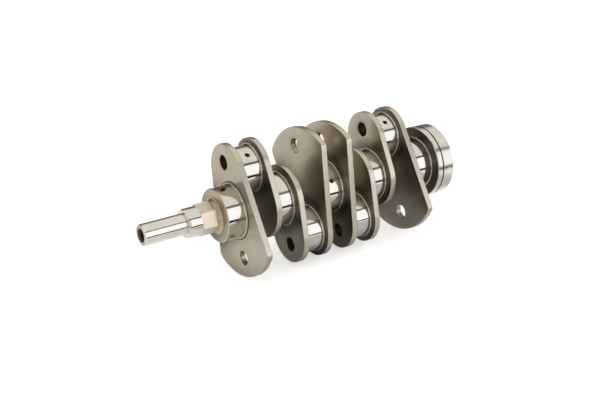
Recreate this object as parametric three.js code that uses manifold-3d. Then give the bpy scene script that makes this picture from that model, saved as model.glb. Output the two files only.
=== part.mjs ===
// Billet crankshaft of a flat-four engine. Millimetres, +Z up.
//
// The shaft lies along X, its pulley snout towards -X and its flywheel flange
// towards +X, with the origin on the shaft's axis at half its length. Its first
// and last counterweights are lowest, and it is turned a little about X, so that
// the throws of cylinders 1 and 4 lean back from the upright.
//
// The real shaft is machined from one bar. Here each section that a machinist
// would name is a solid of its own: neighbours meet face to face on planes
// square to the axis, so that the stack is the whole shaft.
//
// Every section is drawn in its own frame: X runs along the shaft from the
// section's front face, and Z points towards the throw of cylinder 1.
import * as THREE from 'three';
import { mergeVertices } from 'three/addons/utils/BufferGeometryUtils.js';
import Module from 'manifold-3d';

const wasm = await Module();
wasm.setup();

// ---- Driving dimensions ----------------------------------------------------

const MAIN_RADIUS = 30;
const ROD_RADIUS = 26;
const HALF_STROKE = 41.5;

const WEB_THICKNESS = 7;
const WEB_EDGE_BREAK = 0.8;
const WEB_PIN_END_RADIUS = 33;
const WEB_MAIN_END_RADIUS = 38.5;
const COUNTERWEIGHT_RADIUS = 75;
const COUNTERWEIGHT_HALF_ANGLE = THREE.MathUtils.degToRad(47);
const COUNTERWEIGHT_CORNER_EASE = 4;

// Gaps between neighbouring webs, face to face.
const ROD_GAP = 25;
const OUTER_MAIN_GAP = 21.8;
const CENTRE_MAIN_GAP = 27;
const FRONT_MAIN_LENGTH = 23.4;
const REAR_MAIN_LENGTH = 29.4;

// A raised pad surrounds each journal where it meets a web or the flange.
const PAD_HEIGHT = 1;
const PAD_MARGIN = 3;
const JOURNAL_FILLET = 1.5;

const PIN_HOLE_RADIUS = 8.3;
const PIN_HOLE_OFFSET = 53.5;
const COUNTERWEIGHT_HOLE_RADIUS = 8.2;
const COUNTERWEIGHT_HOLE_OFFSET = 53.2;

const OIL_HOLE_RADIUS = 2.4;
const OIL_HOLE_DEPTH = 11;
const ROD_OIL_ANGLE = THREE.MathUtils.degToRad(54);
const MAIN_OIL_ANGLE = THREE.MathUtils.degToRad(76);

const SNOUT_RADIUS = 11.9;
const SNOUT_LENGTH = 49;
const SNOUT_BORE_RADIUS = 7;
const SNOUT_BORE_DEPTH = 36;
const SNOUT_COUNTERSINK = 1;
const DRILL_POINT_SLOPE = 0.5;
const SNOUT_ROOT_LENGTH = 1;
const SEAL_LAND_RADIUS = 16.3;
const SEAL_LAND_LENGTH = 15.5;
const SEAL_LAND_CHAMFER = 1.2;
const SEAL_LAND_CHAMFER_LENGTH = 2.6;
const HEX_ACROSS_FLATS = 31.4;
const HEX_CORNER_RADIUS = 17.8;
const HEX_LENGTH = 17.5;
const HEX_TURN = THREE.MathUtils.degToRad(4);
const HEX_CHAMFER = 0.8;
const NECK_LENGTH = 5.2;
const NECK_FRONT_RADIUS = 17;
const NECK_REAR_RADIUS = 21;
const NECK_CORNER = 0.8;

const FLANGE_RADIUS = 43;
const SLINGER_LENGTH = 6.5;
const FLANGE_LENGTH = 23.2;
const FLANGE_GROOVE_WIDTH = 1.8;
const FLANGE_GROOVE_DEPTH = 1.5;
const FLANGE_EDGE_BREAK = 0.8;
const PILOT_RECESS_RADIUS = 17.5;
const PILOT_RECESS_DEPTH = 6;
const BOLT_COUNT = 8;
const BOLT_CIRCLE_RADIUS = 31;
const BOLT_HOLE_RADIUS = 4.4;
const BOLT_HOLE_DEPTH = 14;

const END_CHAMFER = 0.8;
const MAIN_FRONT_CHAMFER = 1.2;

// The turn of the whole shaft about X.
const REST_TURN = THREE.MathUtils.degToRad(-21.3);

// Facets around a turned surface, along one arc of an outline, and round a hole.
const TURNED_FACETS = 36;
const ARC_FACETS = 14;
const HOLE_FACETS = 12;
const FILLET_STEPS = 2;
const CUT_CLEARANCE = 1;
const WELD_DISTANCE = 1e-4;

// ---- Finishes --------------------------------------------------------------

const FINISHES = {
  web_steel: { color: 0x8f8577, roughness: 0.42, metalness: 0.9 },
  journal_steel: { color: 0xd9d5cd, roughness: 0.12, metalness: 1 },
  ground_steel: { color: 0xcfcac0, roughness: 0.25, metalness: 1 },
  drive_steel: { color: 0xcbb994, roughness: 0.45, metalness: 0.9 },
};

// ---- Solids ----------------------------------------------------------------

function solidOf(geometry) {
  geometry.deleteAttribute('normal');
  geometry.deleteAttribute('uv');
  const welded = mergeVertices(geometry, WELD_DISTANCE);
  const corners = welded.index.array;
  const kept = [];
  for (let i = 0; i < corners.length; i += 3) {
    const [a, b, c] = [corners[i], corners[i + 1], corners[i + 2]];
    // A triangle with two corners on the axis has no area after welding.
    if (a !== b && b !== c && c !== a) kept.push(a, b, c);
  }
  return new wasm.Manifold(new wasm.Mesh({
    numProp: 3,
    vertProperties: new Float32Array(welded.attributes.position.array),
    triVerts: new Uint32Array(kept),
  }));
}

function geometryOf(solid) {
  const mesh = solid.getMesh();
  const geometry = new THREE.BufferGeometry();
  const positions = new Float32Array(mesh.vertProperties);
  const corners = new Uint32Array(mesh.triVerts);
  geometry.setAttribute('position', new THREE.BufferAttribute(positions, 3));
  geometry.setIndex(new THREE.BufferAttribute(corners, 1));
  geometry.computeVertexNormals();
  return geometry;
}

// A profile of [x, radius] points, spun about the shaft's axis.
function turned(profile, facets = TURNED_FACETS) {
  const points = profile.map(([x, radius]) => new THREE.Vector2(radius, x));
  const geometry = new THREE.LatheGeometry(points, facets);
  const onToShaft = new THREE.Matrix4().makeBasis(
    new THREE.Vector3(0, 0, 1),
    new THREE.Vector3(1, 0, 0),
    new THREE.Vector3(0, 1, 0),
  );
  return solidOf(geometry.applyMatrix4(onToShaft));
}

// A flat outline, drawn with y towards the throw, given a thickness along X.
function plate(shape, thickness, edgeBreak) {
  const geometry = new THREE.ExtrudeGeometry(shape, {
    depth: thickness - 2 * edgeBreak,
    bevelEnabled: true,
    bevelSegments: 1,
    bevelThickness: edgeBreak,
    bevelSize: edgeBreak,
    bevelOffset: -edgeBreak,
    curveSegments: ARC_FACETS,
  });
  const onToShaft = new THREE.Matrix4().makeBasis(
    new THREE.Vector3(0, 1, 0),
    new THREE.Vector3(0, 0, 1),
    new THREE.Vector3(1, 0, 0),
  );
  geometry.translate(0, 0, edgeBreak);
  return solidOf(geometry.applyMatrix4(onToShaft));
}

// A plain cylinder along X, from x to x + length, its axis at the given offset.
function bar(radius, x, length, offset, facets = HOLE_FACETS) {
  const geometry = new THREE.CylinderGeometry(radius, radius, length, facets);
  geometry.rotateZ(-Math.PI / 2);
  geometry.translate(x + length / 2, 0, offset);
  return solidOf(geometry);
}

// A cylinder with its axis across the shaft, for an oil hole in a journal.
function oilHole(x, journalRadius, journalOffset, angle) {
  const length = OIL_HOLE_DEPTH + CUT_CLEARANCE;
  const geometry = new THREE.CylinderGeometry(OIL_HOLE_RADIUS, OIL_HOLE_RADIUS, length, HOLE_FACETS);
  geometry.translate(0, journalRadius + CUT_CLEARANCE - length / 2, 0);
  geometry.rotateX(Math.PI / 2 + angle);
  geometry.translate(x, 0, journalOffset);
  return solidOf(geometry);
}

// ---- Journals --------------------------------------------------------------

// Fillet points between a journal and a face, from the face down to the journal.
function filletPoints(radius, faceX, direction) {
  const points = [];
  for (let step = 0; step <= FILLET_STEPS; step += 1) {
    const turn = (step / FILLET_STEPS) * (Math.PI / 2);
    points.push([
      faceX + direction * JOURNAL_FILLET * (1 - Math.cos(turn)),
      radius + JOURNAL_FILLET * (1 - Math.sin(turn)),
    ]);
  }
  return points;
}

function filletedJournal(radius, length) {
  return turned([
    [0, 0],
    ...filletPoints(radius, 0, 1),
    ...filletPoints(radius, length, -1).reverse(),
    [length, 0],
  ]);
}

function frontMainJournal(length) {
  const chamfer = MAIN_FRONT_CHAMFER;
  return turned([
    [0, 0],
    [0, MAIN_RADIUS - chamfer],
    [chamfer, MAIN_RADIUS],
    ...filletPoints(MAIN_RADIUS, length, -1).reverse(),
    [length, 0],
  ]);
}

function mainJournal(length, oilAngle) {
  const body = filletedJournal(MAIN_RADIUS, length);
  if (oilAngle === null) return body;
  return body.subtract(oilHole(length / 2, MAIN_RADIUS, 0, oilAngle));
}

// The pin is turned about its own axis, then set out from the shaft's axis.
function rodJournal(length, oilAngle) {
  const pin = filletedJournal(ROD_RADIUS, length).translate([0, 0, HALF_STROKE]);
  const bore = bar(PIN_HOLE_RADIUS, -CUT_CLEARANCE, length + 2 * CUT_CLEARANCE, PIN_HOLE_OFFSET);
  return pin.subtract(bore).subtract(oilHole(length / 2, ROD_RADIUS, HALF_STROKE, oilAngle));
}

// ---- Webs ------------------------------------------------------------------

// An oval: a wide arc about the shaft and a smaller one about the pin.
function ovalOutline() {
  const lean = Math.asin((WEB_MAIN_END_RADIUS - WEB_PIN_END_RADIUS) / HALF_STROKE);
  const shape = new THREE.Shape();
  shape.absarc(0, HALF_STROKE, WEB_PIN_END_RADIUS, lean, Math.PI - lean, false);
  shape.absarc(0, 0, WEB_MAIN_END_RADIUS, Math.PI - lean, 2 * Math.PI + lean, false);
  return shape;
}

// A pin end with straight flanks that widen down to the counterweight's arc.
function counterweightOutline() {
  const corner = new THREE.Vector2(
    COUNTERWEIGHT_RADIUS * Math.sin(COUNTERWEIGHT_HALF_ANGLE),
    -COUNTERWEIGHT_RADIUS * Math.cos(COUNTERWEIGHT_HALF_ANGLE),
  );
  const pinCentre = new THREE.Vector2(0, HALF_STROKE);
  const reach = corner.clone().sub(pinCentre);
  const touchAngle = reach.angle() - 2 * Math.PI + Math.acos(WEB_PIN_END_RADIUS / reach.length());
  const touch = new THREE.Vector2(
    WEB_PIN_END_RADIUS * Math.cos(touchAngle),
    HALF_STROKE + WEB_PIN_END_RADIUS * Math.sin(touchAngle),
  );
  const flankEnd = corner.clone().add(touch.clone().sub(corner).setLength(COUNTERWEIGHT_CORNER_EASE));
  const easedAngle = COUNTERWEIGHT_HALF_ANGLE - COUNTERWEIGHT_CORNER_EASE / COUNTERWEIGHT_RADIUS;
  const arcEnd = new THREE.Vector2(
    COUNTERWEIGHT_RADIUS * Math.sin(easedAngle),
    -COUNTERWEIGHT_RADIUS * Math.cos(easedAngle),
  );

  const shape = new THREE.Shape();
  shape.absarc(0, HALF_STROKE, WEB_PIN_END_RADIUS, touchAngle, Math.PI - touchAngle, false);
  shape.lineTo(-flankEnd.x, flankEnd.y);
  shape.quadraticCurveTo(-corner.x, corner.y, -arcEnd.x, arcEnd.y);
  shape.absarc(0, 0, COUNTERWEIGHT_RADIUS, -Math.PI / 2 - easedAngle, -Math.PI / 2 + easedAngle, false);
  shape.quadraticCurveTo(corner.x, corner.y, flankEnd.x, flankEnd.y);
  return shape;
}

// The web's face at x = 0 meets the main journal when mainInFront is true, and
// the pin otherwise. The pads stand proud of both faces.
function web(hasCounterweight, mainInFront) {
  const outline = hasCounterweight ? counterweightOutline() : ovalOutline();
  const holes = [[PIN_HOLE_RADIUS, PIN_HOLE_OFFSET]];
  if (hasCounterweight) holes.push([COUNTERWEIGHT_HOLE_RADIUS, -COUNTERWEIGHT_HOLE_OFFSET]);
  const through = PAD_HEIGHT + CUT_CLEARANCE;

  const buried = WEB_THICKNESS / 2;
  const mainPad = [MAIN_RADIUS + PAD_MARGIN, 0];
  const pinPad = [ROD_RADIUS + PAD_MARGIN, HALF_STROKE];
  const [frontPad, rearPad] = mainInFront ? [mainPad, pinPad] : [pinPad, mainPad];

  let body = plate(outline, WEB_THICKNESS, WEB_EDGE_BREAK);
  body = body.add(bar(frontPad[0], -PAD_HEIGHT, PAD_HEIGHT + buried, frontPad[1], TURNED_FACETS));
  body = body.add(bar(rearPad[0], buried, buried + PAD_HEIGHT, rearPad[1], TURNED_FACETS));
  for (const [radius, offset] of holes) {
    body = body.subtract(bar(radius, -through, WEB_THICKNESS + 2 * through, offset));
  }
  return body;
}

// ---- Nose ------------------------------------------------------------------

// The pulley's spigot, with the blind hole for the pulley bolt.
function pulleySnout() {
  const mouth = SNOUT_BORE_RADIUS + SNOUT_COUNTERSINK;
  const drillPoint = SNOUT_BORE_RADIUS * DRILL_POINT_SLOPE;
  const length = SNOUT_LENGTH - SNOUT_ROOT_LENGTH;
  return turned([
    [SNOUT_BORE_DEPTH + drillPoint, 0],
    [SNOUT_BORE_DEPTH, SNOUT_BORE_RADIUS],
    [SNOUT_COUNTERSINK, SNOUT_BORE_RADIUS],
    [0, mouth],
    [0, SNOUT_RADIUS - END_CHAMFER],
    [END_CHAMFER, SNOUT_RADIUS],
    [length, SNOUT_RADIUS],
    [length, 0],
  ]);
}

// The seal's land, with the root of the snout, so that its front shoulder is a
// plain ring for the sprocket to seat on.
function frontSealLand() {
  return turned([
    [-SNOUT_ROOT_LENGTH, 0],
    [-SNOUT_ROOT_LENGTH, SNOUT_RADIUS],
    [0, SNOUT_RADIUS],
    [0, SEAL_LAND_RADIUS - SEAL_LAND_CHAMFER],
    [SEAL_LAND_CHAMFER_LENGTH, SEAL_LAND_RADIUS],
    [SEAL_LAND_LENGTH, SEAL_LAND_RADIUS],
    [SEAL_LAND_LENGTH, 0],
  ]);
}

// Six flats that drive the oil pump's rotor, with corners turned round.
function pumpDriveHex() {
  const cornerRadius = HEX_ACROSS_FLATS / 2 / Math.cos(Math.PI / 6);
  const sides = 6;
  const turn = THREE.MathUtils.radToDeg(HEX_TURN);
  const prism = bar(cornerRadius, 0, HEX_LENGTH, 0, sides).rotate([turn, 0, 0]);
  const envelope = turned([
    [0, 0],
    [0, HEX_CORNER_RADIUS - HEX_CHAMFER],
    [HEX_CHAMFER, HEX_CORNER_RADIUS],
    [HEX_LENGTH, HEX_CORNER_RADIUS],
    [HEX_LENGTH, 0],
  ]);
  return prism.intersect(envelope);
}

// A short collar whose front runs out in a hollow curve to the drive.
function noseCollar() {
  const curve = [];
  const sweep = NECK_REAR_RADIUS - NECK_FRONT_RADIUS;
  const curveLength = NECK_LENGTH - NECK_CORNER;
  for (let step = 0; step <= FILLET_STEPS; step += 1) {
    const turn = (step / FILLET_STEPS) * (Math.PI / 2);
    curve.push([
      curveLength * Math.sin(turn),
      NECK_FRONT_RADIUS + sweep * (1 - Math.cos(turn)),
    ]);
  }
  return turned([[0, 0], ...curve, [NECK_LENGTH, NECK_REAR_RADIUS], [NECK_LENGTH, 0]]);
}

// ---- Rear ------------------------------------------------------------------

// The narrow land in front of the groove: the rear journal meets its flat face.
function oilSlinger() {
  return turned([
    [0, 0],
    [0, FLANGE_RADIUS - FLANGE_EDGE_BREAK],
    [FLANGE_EDGE_BREAK, FLANGE_RADIUS],
    [SLINGER_LENGTH, FLANGE_RADIUS],
    [SLINGER_LENGTH, 0],
  ]);
}

// The seal's land and the flywheel's face, with its ring of tapped holes.
function flywheelFlange(length) {
  let body = turned([
    [0, 0],
    [0, FLANGE_RADIUS - FLANGE_GROOVE_DEPTH],
    [FLANGE_GROOVE_WIDTH, FLANGE_RADIUS - FLANGE_GROOVE_DEPTH],
    [FLANGE_GROOVE_WIDTH, FLANGE_RADIUS],
    [length - FLANGE_EDGE_BREAK, FLANGE_RADIUS],
    [length, FLANGE_RADIUS - FLANGE_EDGE_BREAK],
    [length, PILOT_RECESS_RADIUS],
    [length - PILOT_RECESS_DEPTH, PILOT_RECESS_RADIUS],
    [length - PILOT_RECESS_DEPTH, 0],
  ]);
  const floor = length - BOLT_HOLE_DEPTH;
  const hole = bar(BOLT_HOLE_RADIUS, floor, BOLT_HOLE_DEPTH + CUT_CLEARANCE, BOLT_CIRCLE_RADIUS);
  const spacing = 360 / BOLT_COUNT;
  for (let bolt = 0; bolt < BOLT_COUNT; bolt += 1) {
    body = body.subtract(hole.rotate([(bolt + 0.5) * spacing, 0, 0]));
  }
  return body;
}

// ---- Assembly --------------------------------------------------------------

const UP = 0;
const DOWN = Math.PI;

const shaft = new THREE.Group();
shaft.rotation.x = REST_TURN;

function place(name, solid, x, turn, finish) {
  const mesh = new THREE.Mesh(geometryOf(solid), new THREE.MeshStandardMaterial(FINISHES[finish]));
  mesh.name = name;
  mesh.position.x = x;
  mesh.rotation.x = turn;
  shaft.add(mesh);
}

// Sections are laid end to end from the snout's tip; x is the next front face.
let x = 0;
place('pulley_snout', pulleySnout(), x, UP, 'ground_steel');
x += SNOUT_LENGTH;
place('front_seal_land', frontSealLand(), x, UP, 'ground_steel');
x += SEAL_LAND_LENGTH;
place('oil_pump_drive', pumpDriveHex(), x, UP, 'drive_steel');
x += HEX_LENGTH;
place('nose_collar', noseCollar(), x, UP, 'drive_steel');
x += NECK_LENGTH;

// Each throw has a web in front of its pin and one behind. The outer webs of
// the first and last throws, and the inner ones of the middle two, carry the
// counterweights. Each throw has its main journal in front of it, with an oil
// hole on the near side or the far one.
const nearOil = MAIN_OIL_ANGLE;
const farOil = MAIN_OIL_ANGLE + Math.PI;
const throws = [
  { turn: UP, mainLength: FRONT_MAIN_LENGTH, mainOil: null, frontWeight: true, rearWeight: false },
  { turn: DOWN, mainLength: OUTER_MAIN_GAP, mainOil: farOil, frontWeight: false, rearWeight: true },
  { turn: DOWN, mainLength: CENTRE_MAIN_GAP, mainOil: nearOil, frontWeight: true, rearWeight: false },
  { turn: UP, mainLength: OUTER_MAIN_GAP, mainOil: farOil, frontWeight: false, rearWeight: true },
];

throws.forEach(({ turn, mainLength, mainOil, frontWeight, rearWeight }, index) => {
  const cylinder = index + 1;
  if (index === 0) {
    place('main_journal_1', frontMainJournal(mainLength - PAD_HEIGHT), x, UP, 'journal_steel');
  } else {
    const journal = mainJournal(mainLength - 2 * PAD_HEIGHT, mainOil);
    place(`main_journal_${cylinder}`, journal, x + PAD_HEIGHT, UP, 'journal_steel');
  }
  x += mainLength;
  place(`web_${2 * cylinder - 1}`, web(frontWeight, true), x, turn, 'web_steel');
  x += WEB_THICKNESS;
  const pin = rodJournal(ROD_GAP - 2 * PAD_HEIGHT, ROD_OIL_ANGLE);
  place(`rod_journal_${cylinder}`, pin, x + PAD_HEIGHT, turn, 'journal_steel');
  x += ROD_GAP;
  place(`web_${2 * cylinder}`, web(rearWeight, false), x, turn, 'web_steel');
  x += WEB_THICKNESS;
});

const lastMain = throws.length + 1;
const rearJournal = mainJournal(REAR_MAIN_LENGTH - PAD_HEIGHT, null);
place(`main_journal_${lastMain}`, rearJournal, x + PAD_HEIGHT, UP, 'journal_steel');
x += REAR_MAIN_LENGTH;
place('oil_slinger', oilSlinger(), x, UP, 'ground_steel');
x += SLINGER_LENGTH;
place('flywheel_flange', flywheelFlange(FLANGE_LENGTH - SLINGER_LENGTH), x, UP, 'ground_steel');
x += FLANGE_LENGTH - SLINGER_LENGTH;

// The finished length sets the origin at the middle of the shaft.
shaft.position.x = -x / 2;

export default shaft;
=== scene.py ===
# The looks of a billet crankshaft: each section of the shaft is a finely turned or
# outlined mesh with a procedural steel, set where its CAD node is. Metres.
import math

import bmesh
import bpy
from mathutils import Matrix, Vector


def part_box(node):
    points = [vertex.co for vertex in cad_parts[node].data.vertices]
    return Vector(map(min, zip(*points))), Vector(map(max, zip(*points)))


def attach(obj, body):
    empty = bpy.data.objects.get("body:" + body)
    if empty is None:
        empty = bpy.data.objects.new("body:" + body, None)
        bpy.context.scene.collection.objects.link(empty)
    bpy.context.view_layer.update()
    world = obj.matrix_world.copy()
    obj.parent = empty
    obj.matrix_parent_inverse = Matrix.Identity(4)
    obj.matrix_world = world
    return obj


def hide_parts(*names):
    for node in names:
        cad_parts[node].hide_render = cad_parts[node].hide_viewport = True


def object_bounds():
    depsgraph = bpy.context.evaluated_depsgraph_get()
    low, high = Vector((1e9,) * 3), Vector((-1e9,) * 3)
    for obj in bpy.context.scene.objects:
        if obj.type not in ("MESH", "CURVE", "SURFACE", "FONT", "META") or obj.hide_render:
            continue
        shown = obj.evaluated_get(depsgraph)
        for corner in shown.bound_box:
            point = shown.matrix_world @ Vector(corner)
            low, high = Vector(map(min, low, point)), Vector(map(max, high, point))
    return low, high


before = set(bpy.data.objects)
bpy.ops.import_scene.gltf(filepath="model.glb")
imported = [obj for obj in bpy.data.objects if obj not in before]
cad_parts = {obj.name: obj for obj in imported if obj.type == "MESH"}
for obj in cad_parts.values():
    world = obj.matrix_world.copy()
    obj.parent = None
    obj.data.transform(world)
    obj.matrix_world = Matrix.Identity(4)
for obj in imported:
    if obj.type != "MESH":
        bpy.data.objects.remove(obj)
cad_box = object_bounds()
floor_level = cad_box[0][2]

BODY = "root"

# ---- Driving dimensions ------------------------------------------------------

# The lean of throws 1 and 4, and the turn of each throw from there.
REST_TURN = math.radians(-21.3)
UP, DOWN = 0.0, math.pi
THROW_TURNS = [UP, DOWN, DOWN, UP]
WEIGHTED_WEBS = (1, 4, 5, 8)

HALF_STROKE = 0.0415
MAIN_RADIUS = 0.030
ROD_RADIUS = 0.026

WEB_THICKNESS = 0.007
WEB_EDGE = 0.0007
WEB_PIN_END_RADIUS = 0.033
WEB_MAIN_END_RADIUS = 0.0385
COUNTERWEIGHT_RADIUS = 0.075
COUNTERWEIGHT_HALF_ANGLE = math.radians(47)
CORNER_EASE = 0.004
PAD_HEIGHT = 0.001
PAD_MARGIN = 0.003
PAD_EDGE = 0.0003
PAD_FILLET = 0.0006
JOURNAL_FILLET = 0.0015

PIN_HOLE_RADIUS = 0.0083
PIN_HOLE_OFFSET = 0.0535
WEIGHT_HOLE_RADIUS = 0.0082
WEIGHT_HOLE_OFFSET = 0.0532
HOLE_EDGE = 0.0006

OIL_HOLE_RADIUS = 0.0026
OIL_MOUTH_RADIUS = 0.0031
OIL_HOLE_DEPTH = 0.010
OIL_TOOL_OVERLAP = 0.001
ROD_OIL_ANGLE = math.radians(54)
MAIN_OIL_ANGLE = math.radians(76)
# The main journals with an oil hole, and its angle from the throw of cylinder 1.
MAIN_OIL = {2: MAIN_OIL_ANGLE + math.pi, 3: MAIN_OIL_ANGLE, 4: MAIN_OIL_ANGLE + math.pi}

SNOUT_RADIUS = 0.0119
BORE_RADIUS = 0.0070
BORE_DEPTH = 0.036
BORE_COUNTERSINK = 0.001
DRILL_POINT_LENGTH = 0.003
DRILL_POINT_RADIUS = 0.3 * BORE_RADIUS
THREAD_START = 0.0015
THREAD_PITCH = 0.0015
THREAD_DEPTH = 0.0007
THREADED_LENGTH = 0.028
SNOUT_ROOT_LENGTH = 0.001
SEAL_LAND_RADIUS = 0.0163
SEAL_LAND_CHAMFER = 0.0012
SEAL_LAND_CHAMFER_LENGTH = 0.0026
HEX_SIDES = 6
HEX_ACROSS_FLATS = 0.0314
HEX_CORNER_RADIUS = 0.0178
HEX_CHAMFER = 0.0008
HEX_TURN = math.radians(4)
NECK_FRONT_RADIUS = 0.017
NECK_REAR_RADIUS = 0.021
NECK_CORNER = 0.0008

FLANGE_RADIUS = 0.043
FLANGE_EDGE = 0.0008
GROOVE_WIDTH = 0.0018
GROOVE_DEPTH = 0.0015
RECESS_RADIUS = 0.0175
RECESS_DEPTH = 0.006
RECESS_EDGE = 0.0004
BOLT_COUNT = 8
BOLT_CIRCLE_RADIUS = 0.031
BOLT_HOLE_RADIUS = 0.0044
BOLT_HOLE_DEPTH = 0.014
END_CHAMFER = 0.0008
MAIN_FRONT_CHAMFER = 0.0012

# How finely the meshes are divided.
AROUND = 192
AROUND_HOLE = 48
CURVE_STEPS = 5
JOURNAL_STEPS = 16
COLLAR_STEPS = 16
OVAL_FLANK_STEPS = 12
WEIGHT_FLANK_STEPS = 16
EASE_STEPS = 8
ARC_STEP = math.radians(2)
SHARP_ANGLE = math.radians(28)

# Allowances of the tests that sort faces by where they are.
HAIR = 0.0001
EDGE_ALLOWANCE = 0.001
WELD_DISTANCE = 1e-7
ON_SURFACE = 2e-6

# How far a face's normal points along the shaft: 0 on a journal, 1 on an end face.
ROUND_TILT = 0.02
SLOPE_TILT = 0.1
WALL_TILT = 0.5
RIM_TILT = 0.8
END_TILT = 0.9
FILLET_TILT = 0.995
# How closely a normal follows the way out from an axis, to be a journal's outside.
OUTWARD = 0.9


# ---- Mesh building -----------------------------------------------------------
# A section is drawn in its own frame: x along the shaft from its front face, y
# across, z towards its throw. A profile is a list of (x, radius).

def ring(bm, x, radius, offset=0.0, count=AROUND):
    verts = []
    for i in range(count):
        angle = 2 * math.pi * i / count
        verts.append(bm.verts.new((x, radius * math.sin(angle), offset + radius * math.cos(angle))))
    return verts


def bridge(bm, first, second):
    count = len(first)
    for i in range(count):
        j = (i + 1) % count
        bm.faces.new((first[i], first[j], second[j], second[i]))


def sweep(bm, profile, offset=0.0, count=AROUND):
    """Rings along a profile, joined up. Returns the first and the last ring."""
    rings = [ring(bm, x, radius, offset, count) for x, radius in profile]
    for first, second in zip(rings, rings[1:]):
        bridge(bm, first, second)
    return rings[0], rings[-1]


def loop_edges(bm, verts):
    edges = []
    for i, vert in enumerate(verts):
        other = verts[(i + 1) % len(verts)]
        edge = bm.edges.get((vert, other))
        edges.append(edge or bm.edges.new((vert, other)))
    return edges


def cap(bm, loops):
    """A flat face bounded by an outer loop, with the other loops as holes in it."""
    edges = []
    for loop in loops:
        edges.extend(loop_edges(bm, loop))
    bmesh.ops.triangle_fill(bm, use_beauty=True, use_dissolve=False, edges=edges)


def quarter_round(size):
    """(x, out) along a quarter circle, from (0, size) to (size, 0)."""
    points = []
    for step in range(CURVE_STEPS + 1):
        turn = step / CURVE_STEPS * math.pi / 2
        points.append((size * (1 - math.cos(turn)), size * (1 - math.sin(turn))))
    return points


def face_outwards(bm):
    bmesh.ops.recalc_face_normals(bm, faces=bm.faces)
    if bm.calc_volume(signed=True) < 0:
        bmesh.ops.reverse_faces(bm, faces=bm.faces)


def mesh_of(bm, name):
    mesh = bpy.data.meshes.new(name)
    bm.to_mesh(mesh)
    bm.free()
    return mesh


def linked_object(name, data):
    thing = bpy.data.objects.new(name, data)
    bpy.context.collection.objects.link(thing)
    return thing


def solid_object(bm, name):
    face_outwards(bm)
    return linked_object(name, mesh_of(bm, name))


def finish_piece(name, node, bm, material, turn=0.0, journals=(), others=()):
    """Cleans the mesh, sets it at its node's place and hands it to the frame."""
    bmesh.ops.remove_doubles(bm, verts=bm.verts, dist=WELD_DISTANCE)
    face_outwards(bm)
    return place_mesh(name, node, mesh_of(bm, name), material, turn, journals, others)


def place_mesh(name, node, mesh, material, turn, journals, others=()):
    """journals are (radius, offset) of its round surfaces. others are pairs of a
    material and a test of the faces that it goes on."""
    mesh.materials.clear()
    for finish in [material] + [other for other, belongs in others]:
        mesh.materials.append(finish)
    for polygon in mesh.polygons:
        polygon.use_smooth = True
        polygon.material_index = 0
        for index, (other, belongs) in enumerate(others, start=1):
            if belongs(polygon):
                polygon.material_index = index
    mesh.set_sharp_from_angle(angle=SHARP_ANGLE)
    set_round_normals(mesh, journals)
    to_front = Matrix.Translation((front_of(node), 0, 0))
    mesh.transform(to_front @ Matrix.Rotation(REST_TURN + turn, 4, "X"))
    piece = linked_object(name, mesh)
    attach(piece, BODY)
    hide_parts(node)
    return piece


def set_round_normals(mesh, journals):
    """Gives the turned surfaces exact round normals, so that they mirror cleanly."""
    if not journals:
        return
    normals = [Vector(corner.vector) for corner in mesh.corner_normals]
    for polygon in mesh.polygons:
        if abs(polygon.normal.x) > ROUND_TILT:
            continue
        for corner in polygon.loop_indices:
            point = mesh.vertices[mesh.loops[corner].vertex_index].co
            for radius, offset in journals:
                out = Vector((0.0, point.y, point.z - offset))
                facing = out.normalized().dot(polygon.normal)
                if abs(out.length - radius) < ON_SURFACE and facing > OUTWARD:
                    normals[corner] = out.normalized()
    mesh.normals_split_custom_set(normals)


def front_of(node):
    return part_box(node)[0][0]


def length_of(node):
    low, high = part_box(node)
    return high[0] - low[0]


def combined(body, tool, operation):
    """The mesh of one object cut by, or kept inside, another. Both are used up."""
    cut = body.modifiers.new("cut", "BOOLEAN")
    cut.operation = operation
    cut.solver = "EXACT"
    cut.object = tool
    evaluated = body.evaluated_get(bpy.context.evaluated_depsgraph_get())
    mesh = bpy.data.meshes.new_from_object(evaluated)
    for spent in (body, tool):
        data = spent.data
        bpy.data.objects.remove(spent)
        bpy.data.meshes.remove(data)
    return mesh


# ---- Tests of faces ----------------------------------------------------------
# Each says whether a face of a section, still in its own frame, gets a finish.

def distance(polygon, offset=0.0):
    """From the line along the shaft at offset towards the throw."""
    return math.hypot(polygon.center.y, polygon.center.z - offset)


def faces_front(polygon):
    return polygon.normal.x < -END_TILT


def faces_rear(polygon):
    return polygon.normal.x > END_TILT


def slopes(polygon):
    """Shoulders and chamfers: anything that isn't round about the axis."""
    return abs(polygon.normal.x) > SLOPE_TILT


def inside_of(radius, offset=0.0):
    """The walls of holes that go in below a turned surface."""
    def test(polygon):
        below = distance(polygon, offset) < radius - 4 * HAIR
        return below and abs(polygon.normal.x) < WALL_TILT
    return test


def runs_out_of(radius, offset):
    """The fillets and eased edges where a journal runs out to its ends."""
    def test(polygon):
        near = abs(distance(polygon, offset) - radius) < JOURNAL_FILLET + 5 * HAIR
        return near and ROUND_TILT < abs(polygon.normal.x) < FILLET_TILT
    return test


def on_pad(polygon):
    """The raised pads that a web's journals grow out of."""
    over_main = distance(polygon) < MAIN_RADIUS + PAD_MARGIN + PAD_FILLET
    over_pin = distance(polygon, HALF_STROKE) < ROD_RADIUS + PAD_MARGIN + PAD_FILLET
    x = polygon.center.x
    proud = x < PAD_HEIGHT - HAIR or x > PAD_HEIGHT + WEB_THICKNESS + HAIR
    in_pin_hole = distance(polygon, PIN_HOLE_OFFSET) < PIN_HOLE_RADIUS + HOLE_EDGE
    return (over_main or over_pin) and proud and not in_pin_hole


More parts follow.
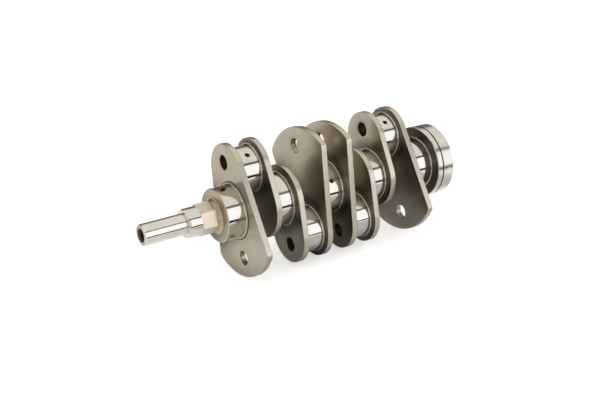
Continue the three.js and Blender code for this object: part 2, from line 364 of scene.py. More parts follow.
def on_rim(polygon):
    """A web's rim, leaving out its faces, its pads and its holes."""
    in_pin_hole = distance(polygon, PIN_HOLE_OFFSET) < PIN_HOLE_RADIUS + EDGE_ALLOWANCE
    in_weight_hole = distance(polygon, -WEIGHT_HOLE_OFFSET) < WEIGHT_HOLE_RADIUS + EDGE_ALLOWANCE
    past_journal = min(distance(polygon) - MAIN_RADIUS, distance(polygon, HALF_STROKE) - ROD_RADIUS)
    near_pad = past_journal < PAD_MARGIN + EDGE_ALLOWANCE
    return abs(polygon.normal.x) < RIM_TILT and not (in_pin_hole or in_weight_hole or near_pad)


def in_bore(polygon):
    """The snout's bore with its thread and its countersink."""
    return polygon.center.x > 2 * HAIR and distance(polygon) < BORE_RADIUS + BORE_COUNTERSINK + HAIR


def in_groove(polygon):
    """The groove at the front of the flange's rim."""
    below_rim = distance(polygon) > FLANGE_RADIUS - GROOVE_DEPTH - HAIR
    return polygon.center.x < GROOVE_WIDTH + HAIR and below_rim


# ---- Materials ---------------------------------------------------------------

# What the finishes have in common: the mottle, and how far noise strays from its middle.
NOISE_LOW, NOISE_HIGH = 0.3, 0.7
MOTTLE_SCALE = 60.0
MOTTLE_DETAIL = 4.0
MOTTLE_DARK, MOTTLE_LIGHT = 0.93, 1.05
MARKS_DETAIL = 3.0

# The faint rings on the webs, and the shade round the roots of their journals.
ARC_SCALE = 450.0
ARC_DETAIL = 2.0
ARC_CONTRAST = 0.05
ROOT_SHADE = 0.35
ROOT_SHADE_REACH = 0.016


def distance_from(material, centre):
    """How far a point is from a line along the shaft, through (y, z)."""
    nodes = material.node_tree.nodes
    links = material.node_tree.links
    place = nodes.new("ShaderNodeTexCoord")
    centred = nodes.new("ShaderNodeVectorMath")
    centred.operation = "SUBTRACT"
    centred.inputs[1].default_value = (0.0, *centre)
    links.new(place.outputs["Object"], centred.inputs[0])
    flat = nodes.new("ShaderNodeVectorMath")
    flat.operation = "MULTIPLY"
    flat.inputs[1].default_value = (0.0, 1.0, 1.0)
    links.new(centred.outputs[0], flat.inputs[0])
    away = nodes.new("ShaderNodeVectorMath")
    away.operation = "LENGTH"
    links.new(flat.outputs[0], away.inputs[0])
    return away.outputs["Value"]


def scale_colour(material, factor):
    """Multiplies the colour that a steel has so far."""
    links = material.node_tree.links
    shader = material.node_tree.nodes["Principled BSDF"]
    scaled = material.node_tree.nodes.new("ShaderNodeVectorMath")
    scaled.operation = "SCALE"
    links.new(shader.inputs["Base Color"].links[0].from_socket, scaled.inputs[0])
    links.new(factor, scaled.inputs["Scale"])
    links.new(scaled.outputs[0], shader.inputs["Base Color"])


def turned_arcs(material):
    """Lightens and darkens a steel in faint rings about the shaft's axis."""
    nodes = material.node_tree.nodes
    links = material.node_tree.links
    rings = nodes.new("ShaderNodeTexNoise")
    rings.noise_dimensions = "1D"
    rings.inputs["Scale"].default_value = ARC_SCALE
    rings.inputs["Detail"].default_value = ARC_DETAIL
    links.new(distance_from(material, (0.0, 0.0)), rings.inputs["W"])
    tone = nodes.new("ShaderNodeMapRange")
    tone.inputs["From Min"].default_value = NOISE_LOW
    tone.inputs["From Max"].default_value = NOISE_HIGH
    tone.inputs["To Min"].default_value = 1.0 - ARC_CONTRAST
    tone.inputs["To Max"].default_value = 1.0 + ARC_CONTRAST
    links.new(rings.outputs["Fac"], tone.inputs["Value"])
    scale_colour(material, tone.outputs["Result"])
    return material


def paint_root_shade(material, centre, radius):
    """Darkens a steel round the root of a journal, whose centre is (y, z), as painted shade: the
    journal's shaded side as the web would mirror it.
    """
    nodes = material.node_tree.nodes
    shade = nodes.new("ShaderNodeMapRange")
    shade.interpolation_type = "SMOOTHSTEP"
    shade.inputs["From Min"].default_value = radius
    shade.inputs["From Max"].default_value = radius + ROOT_SHADE_REACH
    shade.inputs["To Min"].default_value = ROOT_SHADE
    material.node_tree.links.new(distance_from(material, centre), shade.inputs["Value"])
    scale_colour(material, shade.outputs["Result"])
    return material


def steel(name, colour, roughness, rough_spread, marks_scale, marks_depth):
    """Steel with fine rings turned about the shaft's axis and a slight mottle."""
    material = bpy.data.materials.new(name)
    material.use_nodes = True
    nodes = material.node_tree.nodes
    links = material.node_tree.links
    shader = nodes["Principled BSDF"]
    shader.inputs["Metallic"].default_value = 1.0

    place = nodes.new("ShaderNodeTexCoord")
    split = nodes.new("ShaderNodeSeparateXYZ")
    links.new(place.outputs["Object"], split.inputs[0])

    # The turning marks are rings about the shaft's axis.
    ring_place = nodes.new("ShaderNodeCombineXYZ")
    links.new(distance_from(material, (0.0, 0.0)), ring_place.inputs["X"])
    links.new(split.outputs["X"], ring_place.inputs["Y"])
    marks = nodes.new("ShaderNodeTexNoise")
    marks.inputs["Scale"].default_value = marks_scale
    marks.inputs["Detail"].default_value = MARKS_DETAIL
    links.new(ring_place.outputs[0], marks.inputs["Vector"])

    mottle = nodes.new("ShaderNodeTexNoise")
    mottle.inputs["Scale"].default_value = MOTTLE_SCALE
    mottle.inputs["Detail"].default_value = MOTTLE_DETAIL
    links.new(place.outputs["Object"], mottle.inputs["Vector"])

    tone = nodes.new("ShaderNodeValToRGB")
    dark, light = tone.color_ramp.elements
    dark.position, light.position = NOISE_LOW, NOISE_HIGH
    dark.color = (*[MOTTLE_DARK * part for part in colour], 1)
    light.color = (*[min(1.0, MOTTLE_LIGHT * part) for part in colour], 1)
    links.new(mottle.outputs["Fac"], tone.inputs["Fac"])
    links.new(tone.outputs["Color"], shader.inputs["Base Color"])

    spread = nodes.new("ShaderNodeMapRange")
    spread.inputs["To Min"].default_value = roughness - rough_spread
    spread.inputs["To Max"].default_value = roughness + rough_spread
    links.new(marks.outputs["Fac"], spread.inputs["Value"])
    links.new(spread.outputs["Result"], shader.inputs["Roughness"])

    bump = nodes.new("ShaderNodeBump")
    bump.inputs["Strength"].default_value = 1.0
    bump.inputs["Distance"].default_value = marks_depth
    links.new(marks.outputs["Fac"], bump.inputs["Height"])
    links.new(bump.outputs["Normal"], shader.inputs["Normal"])
    return material


# Each finish: colour, roughness and its spread, scale and depth of the turning marks.
WEB_LOOK = ((0.47, 0.415, 0.335), 0.30, 0.04, 2500.0, 0.000006)
WEB_STEEL = turned_arcs(steel("web_finish", *WEB_LOOK))
JOURNAL_STEEL = steel("journal_finish", (0.80, 0.765, 0.72), 0.10, 0.02, 3000.0, 0.0000003)
GROUND_STEEL = steel("ground_finish", (0.80, 0.77, 0.71), 0.09, 0.02, 4000.0, 0.000001)
LAND_STEEL = steel("land_finish", (0.78, 0.745, 0.69), 0.19, 0.04, 4000.0, 0.000002)
DRIVE_STEEL = steel("drive_finish", (0.74, 0.665, 0.54), 0.30, 0.05, 1500.0, 0.000004)
# The rims' steel is lighter than the faces' as a painted highlight, where the rims catch the light;
# it is a little rougher too.
RIM_HIGHLIGHT_STEEL = steel("rim_painted_highlight", (0.68, 0.62, 0.52), 0.34, 0.04, 1500.0, 0.000004)
FILLET_STEEL = steel("fillet_finish", (0.60, 0.55, 0.47), 0.24, 0.04, 4000.0, 0.000002)
# The collar's steel is a rough satin turned finish, darkened as painted shade in the neck between
# the hex and main 1.
COLLAR_SATIN_AND_SHADE_STEEL = steel("collar_satin_and_painted_shade", (0.52, 0.45, 0.345), 0.38, 0.05, 1500.0, 0.000004)
# Painted shade: the snout's bore is darker still, for the shade deep inside it.
BORE_SHADED_STEEL = steel("bore_painted_shade", (0.17, 0.12, 0.08), 0.5, 0.05, 800.0, 0.000006)
# Painted shade: the walls of the oil holes and of the flange's holes are a dark, rough steel for
# the shade inside them.
HOLE_SHADED_STEEL = steel("hole_painted_shade", (0.30, 0.25, 0.19), 0.55, 0.05, 800.0, 0.000006)
# Painted shade: the slinger's front face, in the gap behind web 8, and the flange's groove are near
# black.
RELIEF_SHADED_STEEL = steel("relief_painted_shade", (0.12, 0.097, 0.08), 0.32, 0.04, 2500.0, 0.000004)
# The pads' steel is dark as painted shade: the dark mirror of the journal's underside round its
# root.
PAD_SHADED_STEEL = steel("pad_painted_shade", (0.14, 0.117, 0.095), 0.28, 0.03, 2500.0, 0.000003)


def throw_centre(turn):
    lean = REST_TURN + turn
    return (-HALF_STROKE * math.sin(lean), HALF_STROKE * math.cos(lean))


PIN_ROOT_RADIUS = ROD_RADIUS + PAD_MARGIN


# Web steel with painted shade round a journal's root, for the dark mirror of the journal's
# underside.
def root_shaded_steel(name, centre, radius):
    return paint_root_shade(turned_arcs(steel(name, *WEB_LOOK)), centre, radius)


MAIN_ROOT_SHADED_STEEL = root_shaded_steel("main_root_painted_shade", (0.0, 0.0), MAIN_RADIUS + PAD_MARGIN)
PIN_ROOT_SHADED_STEEL = {
    UP: root_shaded_steel("upper_pin_root_painted_shade", throw_centre(UP), PIN_ROOT_RADIUS),
    DOWN: root_shaded_steel("lower_pin_root_painted_shade", throw_centre(DOWN), PIN_ROOT_RADIUS),
}


# ---- Journals ----------------------------------------------------------------

def journal_profile(radius, length, front_chamfer):
    """With a fillet at each end, or a front edge that is eased instead."""
    fillet = [(x, radius + out) for x, out in quarter_round(JOURNAL_FILLET)]
    run = length - 2 * JOURNAL_FILLET
    middle = [(JOURNAL_FILLET + run * i / JOURNAL_STEPS, radius) for i in range(1, JOURNAL_STEPS)]
    rear = [(length - x, r) for x, r in reversed(fillet)]
    if front_chamfer:
        front = [(x, radius - out) for x, out in quarter_round(front_chamfer)]
    else:
        front = fillet
    return front + middle + rear


def oil_tool(x, radius, offset, angle):
    """A drill with a wide mouth, pointing at the journal's axis."""
    bm = bmesh.new()
    slope = OIL_MOUTH_RADIUS - OIL_HOLE_RADIUS
    sections = [
        (radius - OIL_HOLE_DEPTH, OIL_HOLE_RADIUS),
        (radius - slope, OIL_HOLE_RADIUS),
        (radius, OIL_MOUTH_RADIUS),
        (radius + OIL_TOOL_OVERLAP, OIL_MOUTH_RADIUS + OIL_TOOL_OVERLAP),
    ]
    first, last = sweep(bm, sections, 0.0, AROUND_HOLE)
    cap(bm, [first])
    cap(bm, [last])
    # The drill is drawn along x, then stood on the journal and leaned over.
    bm.transform(Matrix.Rotation(-math.pi / 2, 4, "Y"))
    bm.transform(Matrix.Rotation(angle, 4, "X"))
    bm.transform(Matrix.Translation((x, 0, offset)))
    return solid_object(bm, "oil_tool")


def build_journal(node, radius, offset, turn, oil_angle, bored, front_chamfer=0.0):
    """oil_angle is None for a journal without an oil hole."""
    length = length_of(node)
    bm = bmesh.new()
    first, last = sweep(bm, journal_profile(radius, length, front_chamfer), offset)
    loops_front, loops_rear = [first], [last]
    if bored:
        walls = [(0.0, PIN_HOLE_RADIUS), (length, PIN_HOLE_RADIUS)]
        bore_front, bore_rear = sweep(bm, walls, PIN_HOLE_OFFSET, AROUND_HOLE)
        loops_front.append(bore_front)
        loops_rear.append(bore_rear)
    cap(bm, loops_front)
    cap(bm, loops_rear)
    name = node + "_turned"
    rounds = [(radius, offset)]
    ends = (FILLET_STEEL, runs_out_of(radius, offset))
    if oil_angle is None:
        # Front faces of journals without an oil hole take the collar's satin steel with its painted
        # shade.
        others = [ends, (COLLAR_SATIN_AND_SHADE_STEEL, faces_front)]
        return finish_piece(name, node, bm, JOURNAL_STEEL, turn, rounds, others)
    body = solid_object(bm, "journal_blank")
    mesh = combined(body, oil_tool(length / 2, radius, offset, oil_angle), "DIFFERENCE")
    others = [ends, (HOLE_SHADED_STEEL, inside_of(radius, offset))]
    return place_mesh(name, node, mesh, JOURNAL_STEEL, turn, rounds, others)


# ---- Webs --------------------------------------------------------------------
# Outline points are (across, towards the throw).

def arc_points(centre, radius, start, end):
    count = max(2, math.ceil(abs(end - start) / ARC_STEP))
    points = []
    for i in range(count + 1):
        angle = start + (end - start) * i / count
        points.append(Vector((radius * math.cos(angle), centre + radius * math.sin(angle))))
    return points


def line_points(start, end, count):
    return [start.lerp(end, i / count) for i in range(1, count)]


def ease_points(start, corner, end):
    points = []
    for i in range(1, EASE_STEPS):
        t = i / EASE_STEPS
        points.append(start * (1 - t) ** 2 + corner * (2 * t * (1 - t)) + end * t ** 2)
    return points


def oval_outline():
    lean = math.asin((WEB_MAIN_END_RADIUS - WEB_PIN_END_RADIUS) / HALF_STROKE)
    pin_end = arc_points(HALF_STROKE, WEB_PIN_END_RADIUS, lean, math.pi - lean)
    main_end = arc_points(0.0, WEB_MAIN_END_RADIUS, math.pi - lean, 2 * math.pi + lean)
    left = line_points(pin_end[-1], main_end[0], OVAL_FLANK_STEPS)
    right = line_points(main_end[-1], pin_end[0], OVAL_FLANK_STEPS)
    return pin_end + left + main_end + right


def counterweight_outline():
    half = COUNTERWEIGHT_HALF_ANGLE
    corner = COUNTERWEIGHT_RADIUS * Vector((math.sin(half), -math.cos(half)))
    reach = corner - Vector((0.0, HALF_STROKE))
    touch_angle = math.atan2(reach.y, reach.x) + math.acos(WEB_PIN_END_RADIUS / reach.length)
    pin_end = arc_points(HALF_STROKE, WEB_PIN_END_RADIUS, touch_angle, math.pi - touch_angle)
    flank_end = corner + (pin_end[0] - corner).normalized() * CORNER_EASE
    eased = half - CORNER_EASE / COUNTERWEIGHT_RADIUS
    weight_end = arc_points(0.0, COUNTERWEIGHT_RADIUS, -math.pi / 2 - eased, -math.pi / 2 + eased)

    def mirrored(point):
        return Vector((-point.x, point.y))

    left_flank = line_points(pin_end[-1], mirrored(flank_end), WEIGHT_FLANK_STEPS)
    left_ease = ease_points(mirrored(flank_end), mirrored(corner), weight_end[0])
    right_ease = ease_points(weight_end[-1], corner, flank_end)
    right_flank = line_points(flank_end, pin_end[0], WEIGHT_FLANK_STEPS)
    return (pin_end + left_flank + [mirrored(flank_end)] + left_ease
            + weight_end + right_ease + [flank_end] + right_flank)


def outline_normals(points):
    normals = []
    for i in range(len(points)):
        way = points[(i + 1) % len(points)] - points[i - 1]
        normals.append(Vector((way.y, -way.x)).normalized())
    return normals


def outline_ring(bm, points, normals, x, inset):
    verts = []
    for point, normal in zip(points, normals):
        verts.append(bm.verts.new((x, *(point - normal * inset))))
    return verts


def edge_sections(thickness, edge):
    """(x, inset) of the rim, with a quarter round at each face."""
    front = quarter_round(edge)
    rear = [(thickness - x, inset) for x, inset in reversed(front)]
    return front + rear


def hole_sections(x_front, x_rear, radius, edge):
    front = [(x_front + x, radius + out) for x, out in quarter_round(edge)]
    rear = [(x_rear - x, radius + out) for x, out in reversed(quarter_round(edge))]
    return front + rear


def pad_sections(face_x, way, radius):
    """From the web's face up to the top of a pad that stands proud along way."""
    foot = [(face_x + way * x, radius + out) for x, out in quarter_round(PAD_FILLET)]
    top = [(face_x + way * (PAD_HEIGHT - out), radius - x) for x, out in quarter_round(PAD_EDGE)]
    return foot + top


def web_finishes(node, main_in_front, turn):
    """The faces are darker round the journals, as painted shade, save at the front of web 1; the
    rims get a painted highlight and the pads painted shade.
    """
    front_shaded_steel, rear_shaded_steel = MAIN_ROOT_SHADED_STEEL, PIN_ROOT_SHADED_STEEL[turn]
    if not main_in_front:
        front_shaded_steel, rear_shaded_steel = rear_shaded_steel, front_shaded_steel
    others = [(rear_shaded_steel, faces_rear), (RIM_HIGHLIGHT_STEEL, on_rim), (PAD_SHADED_STEEL, on_pad)]
    if node != "web_1":
        others.insert(0, (front_shaded_steel, faces_front))
    return others


def build_web(node, has_weight, main_in_front, turn):
    outline = counterweight_outline() if has_weight else oval_outline()
    normals = outline_normals(outline)
    bm = bmesh.new()
    front_x = PAD_HEIGHT
    rear_x = PAD_HEIGHT + WEB_THICKNESS
    rims = []
    for x, inset in edge_sections(WEB_THICKNESS, WEB_EDGE):
        rims.append(outline_ring(bm, outline, normals, front_x + x, inset))
    for first, second in zip(rims, rims[1:]):
        bridge(bm, first, second)

    main_pad = (MAIN_RADIUS + PAD_MARGIN, 0.0)
    pin_pad = (ROD_RADIUS + PAD_MARGIN, HALF_STROKE)
    front_pad, rear_pad = (main_pad, pin_pad) if main_in_front else (pin_pad, main_pad)
    front_base, front_top = sweep(bm, pad_sections(front_x, -1, front_pad[0]), front_pad[1])
    rear_base, rear_top = sweep(bm, pad_sections(rear_x, 1, rear_pad[0]), rear_pad[1])

    # The pin's lightening hole opens on a pad on one side and on bare web on the other.
    hole_front = front_x if main_in_front else 0.0
    hole_rear = rear_x + PAD_HEIGHT if main_in_front else rear_x
    walls = hole_sections(hole_front, hole_rear, PIN_HOLE_RADIUS, HOLE_EDGE)
    mouth_front, mouth_rear = sweep(bm, walls, PIN_HOLE_OFFSET, AROUND_HOLE)
    front_face, rear_face = [rims[0], front_base], [rims[-1], rear_base]
    front_disc, rear_disc = [front_top], [rear_top]
    (front_face if main_in_front else front_disc).append(mouth_front)
    (rear_disc if main_in_front else rear_face).append(mouth_rear)

    if has_weight:
        walls = hole_sections(front_x, rear_x, WEIGHT_HOLE_RADIUS, HOLE_EDGE)
        mouth_front, mouth_rear = sweep(bm, walls, -WEIGHT_HOLE_OFFSET, AROUND_HOLE)
        front_face.append(mouth_front)
        rear_face.append(mouth_rear)

    for loops in (front_face, rear_face, front_disc, rear_disc):
        cap(bm, loops)
    others = web_finishes(node, main_in_front, turn)
    return finish_piece(node + "_milled", node, bm, WEB_STEEL, turn, (), others)


# ---- Nose --------------------------------------------------------------------

def turned_solid(profile, count=AROUND):
    bm = bmesh.new()
    first, last = sweep(bm, profile, 0.0, count)
    cap(bm, [first])
    cap(bm, [last])
    return bm


def build_turned(name, node, profile, material, journals=(), others=()):
    return finish_piece(name, node, turned_solid(profile), material, 0.0, journals, others)


def thread_profile():
    """The bore's wall, from the drill point out to the mouth."""
    points = [(BORE_DEPTH, DRILL_POINT_RADIUS), (BORE_DEPTH - DRILL_POINT_LENGTH, BORE_RADIUS)]
    turns = round(THREADED_LENGTH / THREAD_PITCH)
    for i in reversed(range(turns)):
        crest = THREAD_START + (i + 0.5) * THREAD_PITCH
        points.append((crest + THREAD_PITCH / 4, BORE_RADIUS))
        points.append((crest, BORE_RADIUS - THREAD_DEPTH))
        points.append((crest - THREAD_PITCH / 4, BORE_RADIUS))
    return points


def build_snout():
    node = "pulley_snout"
    mouth = [(BORE_COUNTERSINK, BORE_RADIUS), (0.0, BORE_RADIUS + BORE_COUNTERSINK)]
    outside = [
        (0.0, SNOUT_RADIUS - END_CHAMFER),
        (END_CHAMFER, SNOUT_RADIUS),
        (length_of(node), SNOUT_RADIUS),
    ]
    profile = thread_profile() + mouth + outside
    rounds = [(SNOUT_RADIUS, 0.0)]
    others = [(WEB_STEEL, faces_front), (BORE_SHADED_STEEL, in_bore)]
    build_turned("pulley_snout_turned", node, profile, GROUND_STEEL, rounds, others)


def build_seal_land():
    node = "front_seal_land"
    length = length_of(node)
    shoulder = SNOUT_ROOT_LENGTH
    profile = [
        (0.0, SNOUT_RADIUS),
        (shoulder, SNOUT_RADIUS),
        (shoulder, SEAL_LAND_RADIUS - SEAL_LAND_CHAMFER),
        (shoulder + SEAL_LAND_CHAMFER_LENGTH, SEAL_LAND_RADIUS),
        (length, SEAL_LAND_RADIUS),
    ]
    rounds = [(SEAL_LAND_RADIUS, 0.0), (SNOUT_RADIUS, 0.0)]
    others = [(LAND_STEEL, slopes)]
    build_turned("front_seal_land_turned", node, profile, GROUND_STEEL, rounds, others)


def build_pump_drive():
    """A hexagonal prism with its corners turned off."""
    node = "oil_pump_drive"
    length = length_of(node)
    corner = HEX_ACROSS_FLATS / 2 / math.cos(math.pi / HEX_SIDES)
    prism = turned_solid([(0.0, corner), (length, corner)], HEX_SIDES)
    prism.transform(Matrix.Rotation(HEX_TURN, 4, "X"))
    envelope = turned_solid([
        (0.0, HEX_CORNER_RADIUS - HEX_CHAMFER),
        (HEX_CHAMFER, HEX_CORNER_RADIUS),
        (length, HEX_CORNER_RADIUS),
    ])
    blank = solid_object(prism, "hex_blank")
    mesh = combined(blank, solid_object(envelope, "hex_envelope"), "INTERSECT")
    rounds = [(HEX_CORNER_RADIUS, 0.0)]
    place_mesh("oil_pump_drive_milled", node, mesh, DRIVE_STEEL, 0.0, rounds)


def build_collar():
    node = "nose_collar"
    length = length_of(node)
    reach = length - NECK_CORNER
    flare = NECK_REAR_RADIUS - NECK_FRONT_RADIUS
    profile = []
    for step in range(COLLAR_STEPS + 1):
        turn = step / COLLAR_STEPS * math.pi / 2
        profile.append((reach * math.sin(turn), NECK_FRONT_RADIUS + flare * (1 - math.cos(turn))))
    profile.append((length, NECK_REAR_RADIUS))
    build_turned("nose_collar_turned", node, profile, COLLAR_SATIN_AND_SHADE_STEEL)


# ---- Rear --------------------------------------------------------------------

def build_slinger():
    node = "oil_slinger"
    profile = [
        (0.0, FLANGE_RADIUS - FLANGE_EDGE),
        (FLANGE_EDGE, FLANGE_RADIUS),
        (length_of(node), FLANGE_RADIUS),
    ]
    rounds = [(FLANGE_RADIUS, 0.0)]
    # The front face, in the gap behind web 8, gets painted shade.
    others = [(RELIEF_SHADED_STEEL, faces_front)]
    build_turned("oil_slinger_turned", node, profile, LAND_STEEL, rounds, others)


def bolt_hole(bm, rear_x, angle):
    """A blind hole in the rear face. Returns its mouth."""
    wall = [
        (rear_x, BOLT_HOLE_RADIUS + HOLE_EDGE),
        (rear_x - HOLE_EDGE, BOLT_HOLE_RADIUS),
        (rear_x - BOLT_HOLE_DEPTH, BOLT_HOLE_RADIUS),
    ]
    rings = [ring(bm, x, radius, BOLT_CIRCLE_RADIUS, AROUND_HOLE) for x, radius in wall]
    to_place = Matrix.Rotation(angle, 3, "X")
    for verts in rings:
        bmesh.ops.rotate(bm, verts=verts, cent=(0, 0, 0), matrix=to_place)
    for first, second in zip(rings, rings[1:]):
        bridge(bm, first, second)
    cap(bm, [rings[-1]])
    return rings[0]


def build_flange():
    node = "flywheel_flange"
    length = length_of(node)
    bm = bmesh.new()
    front, rim = sweep(bm, [
        (0.0, FLANGE_RADIUS - GROOVE_DEPTH),
        (GROOVE_WIDTH, FLANGE_RADIUS - GROOVE_DEPTH),
        (GROOVE_WIDTH, FLANGE_RADIUS),
        (length - FLANGE_EDGE, FLANGE_RADIUS),
        (length, FLANGE_RADIUS - FLANGE_EDGE),
    ])
    lip, floor = sweep(bm, [
        (length, RECESS_RADIUS + RECESS_EDGE),
        (length - RECESS_EDGE, RECESS_RADIUS),
        (length - RECESS_DEPTH, RECESS_RADIUS),
    ])
    mouths = []
    for i in range(BOLT_COUNT):
        mouths.append(bolt_hole(bm, length, (i + 0.5) * 2 * math.pi / BOLT_COUNT))
    cap(bm, [front])
    cap(bm, [floor])
    cap(bm, [rim, lip] + mouths)
    rounds = [(FLANGE_RADIUS, 0.0)]
    # The holes' walls and the groove get painted shade.
    others = [(HOLE_SHADED_STEEL, inside_of(FLANGE_RADIUS - GROOVE_DEPTH)), (RELIEF_SHADED_STEEL, in_groove)]
    finish_piece("flywheel_flange_turned", node, bm, LAND_STEEL, 0.0, rounds, others)


# ---- The shaft ---------------------------------------------------------------

build_snout()
build_seal_land()
build_pump_drive()
build_collar()
build_journal("main_journal_1", MAIN_RADIUS, 0.0, UP, None, False, MAIN_FRONT_CHAMFER)
for main in range(2, 6):
    build_journal(f"main_journal_{main}", MAIN_RADIUS, 0.0, UP, MAIN_OIL.get(main), False)
for cylinder, turn in enumerate(THROW_TURNS, start=1):
    build_journal(f"rod_journal_{cylinder}", ROD_RADIUS, HALF_STROKE, turn, ROD_OIL_ANGLE, True)
    for web_number in (2 * cylinder - 1, 2 * cylinder):
        build_web(f"web_{web_number}", web_number in WEIGHTED_WEBS, web_number % 2 == 1, turn)
build_slinger()
build_flange()


# ---- Camera, floor and lights ------------------------------------------------

VIEW_AZIMUTH = math.radians(33.68)
VIEW_ELEVATION = math.radians(24.11)
VIEW_DISTANCE = 1.14
VIEW_TARGET = Vector((0.0001, -0.0038, -0.0068))
LENS = 60.5
SENSOR_WIDTH = 36.0

FLOOR_WIDTH = 12.0
FLOOR_COLOUR = (0.93, 0.93, 0.925, 1)
FLOOR_ROUGHNESS = 0.75
FLOOR_GLOW = 0.5
BACKDROP_RADIUS = 2.6
BACKDROP_HEIGHT = 5.0
BACKDROP_SIDES = 96
WHITE = (1.0, 1.0, 1.0)
WORLD_COLOUR = (1.0, 0.98, 0.95, 1)
WORLD_GLOW = 0.15

FLOOR_POWER = 105.0
FLOOR_LIGHT_SIZE = 5.0
FLOOR_LIGHT_HEIGHT = 2.0

MIRROR_CARD_GAP = 0.0005
DARK_STRIP_GAP = 0.001
FRONT_CARD_Y = -0.6
FRONT_CARD_HEIGHT = 0.58
SIDE_CARD_HEIGHT = 1.5

# Between these two places, the overhead card falls from one strength to the other.
OVERHEAD_FADE_Y = (0.96, 1.92)
OVERHEAD_STRENGTHS = (0.85, 0.35)

# Patches of painted shade in what the steel mirrors in place of the floor: the x range,
# y range, how far the patch fades out, and the strength in its middle.
FLOOR_PATCHES = [
    ((-0.165, 0.16), (0.085, 0.225), 0.05, 0.12),  # behind the shaft
    ((-0.06, 0.12), (-0.01, 0.06), 0.06, 0.25),  # under it
    ((0.0, 0.045), (-0.02, 0.03), 0.04, 0.35),  # under its middle
    ((-0.06, 0.25), (-0.16, -0.05), 0.04, 0.55),  # in front of it
    ((-0.25, -0.06), (-0.25, -0.05), 0.08, 0.75),  # in front of its nose
]

UPWARDS = (0, 0, 1)
TOWARDS_FLANGE = (1, 0, 0)
TOWARDS_FAR_SIDE = (0, 1, 0)
SQUARE = ((-0.5, -0.5), (0.5, -0.5), (0.5, 0.5), (-0.5, 0.5))


def add_camera():
    camera = linked_object("camera", bpy.data.cameras.new("camera"))
    camera.data.lens = LENS
    camera.data.sensor_width = SENSOR_WIDTH
    look = Vector((
        math.sin(VIEW_AZIMUTH) * math.cos(VIEW_ELEVATION),
        math.cos(VIEW_AZIMUTH) * math.cos(VIEW_ELEVATION),
        -math.sin(VIEW_ELEVATION),
    ))
    camera.location = VIEW_TARGET - look * VIEW_DISTANCE
    camera.rotation_euler = look.to_track_quat("-Z", "Y").to_euler()
    bpy.context.scene.camera = camera


def flat_panel(name, width, height, z):
    bm = bmesh.new()
    bm.faces.new([bm.verts.new((x * width, y * height, z)) for x, y in SQUARE])
    return mesh_of(bm, name)


def add_floor():
    mesh = flat_panel("floor", FLOOR_WIDTH, FLOOR_WIDTH, floor_level)
    material = bpy.data.materials.new("floor_white")
    material.use_nodes = True
    shader = material.node_tree.nodes["Principled BSDF"]
    shader.inputs["Base Color"].default_value = FLOOR_COLOUR
    shader.inputs["Roughness"].default_value = FLOOR_ROUGHNESS
    shader.inputs["Emission Color"].default_value = (*WHITE, 1)
    shader.inputs["Emission Strength"].default_value = FLOOR_GLOW
    mesh.materials.append(material)
    floor = linked_object("floor", mesh)
    floor.visible_glossy = False


def glow_material(name, colour, strength):
    material = bpy.data.materials.new(name)
    material.use_nodes = True
    nodes = material.node_tree.nodes
    nodes.remove(nodes["Principled BSDF"])
    glow = nodes.new("ShaderNodeEmission")
    glow.inputs["Color"].default_value = (*colour, 1)
    glow.inputs["Strength"].default_value = strength
    material.node_tree.links.new(glow.outputs[0], nodes["Material Output"].inputs["Surface"])
    return material


def add_backdrop():
    """A pale wall all round, that only the camera sees."""
    bm = bmesh.new()
    rings = []
    for z in (floor_level, floor_level + BACKDROP_HEIGHT):
        verts = []
        for i in range(BACKDROP_SIDES):
            angle = 2 * math.pi * i / BACKDROP_SIDES
            x, y = BACKDROP_RADIUS * math.sin(angle), BACKDROP_RADIUS * math.cos(angle)
            verts.append(bm.verts.new((x, y, z)))
        rings.append(verts)
    bridge(bm, *rings)
    mesh = mesh_of(bm, "backdrop")
    mesh.materials.append(glow_material("backdrop_white", WHITE, 1.0))
    wall = linked_object("backdrop", mesh)
    wall.visible_diffuse = False
    wall.visible_glossy = False
    wall.visible_shadow = False


def add_card(name, centre, facing, width, height, colour, strength):
    """A glowing panel, or a dark one at no strength, that the camera doesn't see."""
    mesh = flat_panel(name, width, height, 0.0)
    mesh.materials.append(glow_material(name, colour, strength))
    card = linked_object(name, mesh)
    card.location = centre
    card.rotation_euler = Vector(facing).to_track_quat("Z", "Y").to_euler()
    card.visible_camera = False
    card.visible_shadow = False
    return card


def place_axes(material):
    """The X, Y and Z of a point in the scene, as sockets by those names."""
    nodes = material.node_tree.nodes
    place = nodes.new("ShaderNodeNewGeometry")
    split = nodes.new("ShaderNodeSeparateXYZ")
    material.node_tree.links.new(place.outputs["Position"], split.inputs[0])
    return split.outputs


def shade_near(material, x_range, y_range, fade, darkest):
    """A strength that drops to the darkest over a rectangle of the floor."""
    nodes = material.node_tree.nodes
    links = material.node_tree.links
    axes = place_axes(material)
    # How far a point lies outside the rectangle, along each axis.
    past = nodes.new("ShaderNodeCombineXYZ")
    for axis, (low, high) in (("X", x_range), ("Y", y_range)):
        shifted = nodes.new("ShaderNodeMath")
        shifted.operation = "SUBTRACT"
        shifted.inputs[1].default_value = (low + high) / 2
        links.new(axes[axis], shifted.inputs[0])
        size = nodes.new("ShaderNodeMath")
        size.operation = "ABSOLUTE"
        links.new(shifted.outputs[0], size.inputs[0])
        outside = nodes.new("ShaderNodeMath")
        outside.operation = "SUBTRACT"
        outside.use_clamp = True
        outside.inputs[1].default_value = (high - low) / 2
        links.new(size.outputs[0], outside.inputs[0])
        links.new(outside.outputs[0], past.inputs[axis])
    away = nodes.new("ShaderNodeVectorMath")
    away.operation = "LENGTH"
    links.new(past.outputs[0], away.inputs[0])
    shade = nodes.new("ShaderNodeMapRange")
    shade.interpolation_type = "SMOOTHSTEP"
    shade.inputs["From Max"].default_value = fade
    shade.inputs["To Min"].default_value = darkest
    links.new(away.outputs["Value"], shade.inputs["Value"])
    return shade.outputs["Result"]


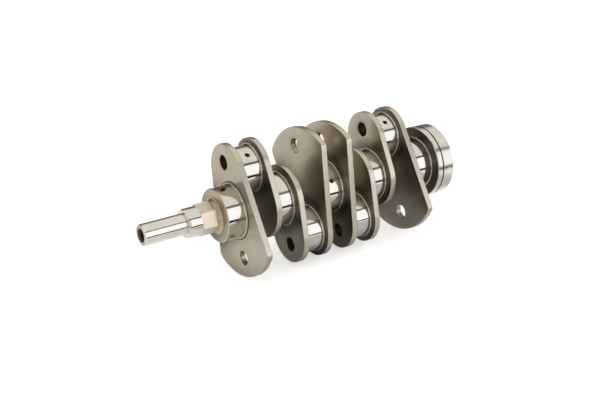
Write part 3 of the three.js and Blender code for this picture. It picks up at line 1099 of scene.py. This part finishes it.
def add_floor_mirror_card():
    """What the steel mirrors in place of the floor: shaded near the shaft."""
    card = add_card(
        "floor_card", (0, 0, floor_level + MIRROR_CARD_GAP), UPWARDS,
        width=8.0, height=8.0, colour=(1.0, 0.985, 0.95), strength=1.0,
    )
    card.visible_diffuse = False
    material = card.data.materials[0]
    nodes = material.node_tree.nodes
    links = material.node_tree.links
    strength, *others = [shade_near(material, *patch) for patch in FLOOR_PATCHES]
    for shade in others:
        both = nodes.new("ShaderNodeMath")
        both.operation = "MULTIPLY"
        links.new(strength, both.inputs[0])
        links.new(shade, both.inputs[1])
        strength = both.outputs[0]
    links.new(strength, nodes["Emission"].inputs["Strength"])


def add_overhead():
    """A broad panel overhead that grows dimmer towards the back."""
    card = add_card(
        "overhead_softbox", (0.5, 0.46, 1.2), UPWARDS,
        width=2.8, height=2.92, colour=(1.0, 0.96, 0.88), strength=OVERHEAD_STRENGTHS[0],
    )
    material = card.data.materials[0]
    nodes = material.node_tree.nodes
    links = material.node_tree.links
    fade = nodes.new("ShaderNodeMapRange")
    for i, end in enumerate(("Min", "Max")):
        fade.inputs[f"From {end}"].default_value = OVERHEAD_FADE_Y[i]
        fade.inputs[f"To {end}"].default_value = OVERHEAD_STRENGTHS[i]
    links.new(place_axes(material)["Y"], fade.inputs["Value"])
    links.new(fade.outputs["Result"], nodes["Emission"].inputs["Strength"])


def add_front_softboxes():
    """On the near side: the key, and a warmer, dimmer fill next to it past the nose."""
    middle = floor_level + FRONT_CARD_HEIGHT / 2
    add_card(
        "key_softbox", (0.55, FRONT_CARD_Y, middle), TOWARDS_FAR_SIDE,
        width=1.3, height=FRONT_CARD_HEIGHT, colour=(0.98, 0.985, 1.0), strength=1.25,
    )
    add_card(
        "fill_softbox", (-0.5, FRONT_CARD_Y, middle), TOWARDS_FAR_SIDE,
        width=0.8, height=FRONT_CARD_HEIGHT, colour=(1.0, 0.94, 0.84), strength=0.75,
    )


def add_side_softbox():
    """Past the nose, facing along the shaft."""
    add_card(
        "side_softbox", (-1.6, 0.0, floor_level + SIDE_CARD_HEIGHT / 2), TOWARDS_FLANGE,
        width=3.0, height=SIDE_CARD_HEIGHT, colour=(1.0, 0.97, 0.92), strength=0.8,
    )


def add_dark_strip():
    """Draws the dark line along the journals, below the key's reflection."""
    strip = add_card(
        "dark_strip", (0.3, -0.375, floor_level + DARK_STRIP_GAP), UPWARDS,
        width=2.0, height=0.25, colour=(0.02, 0.02, 0.02), strength=0.0,
    )
    strip.visible_diffuse = False


def add_floor_light():
    """Even light from above for the floor alone: no highlight of it shows in the steel."""
    light = linked_object("floor_light", bpy.data.lights.new("floor_light", "AREA"))
    light.data.shape = "SQUARE"
    light.data.size = FLOOR_LIGHT_SIZE
    light.data.energy = FLOOR_POWER
    light.location = (0, 0, FLOOR_LIGHT_HEIGHT)
    light.visible_glossy = False
    light.visible_camera = False


def add_world():
    world = bpy.data.worlds.new("studio")
    bpy.context.scene.world = world
    world.use_nodes = True
    background = world.node_tree.nodes["Background"]
    background.inputs["Color"].default_value = WORLD_COLOUR
    background.inputs["Strength"].default_value = WORLD_GLOW


add_camera()
add_floor()
add_world()
add_front_softboxes()
add_overhead()
add_side_softbox()
add_dark_strip()
add_floor_light()
add_floor_mirror_card()
add_backdrop()
bpy.context.scene.view_settings.view_transform = "Standard"
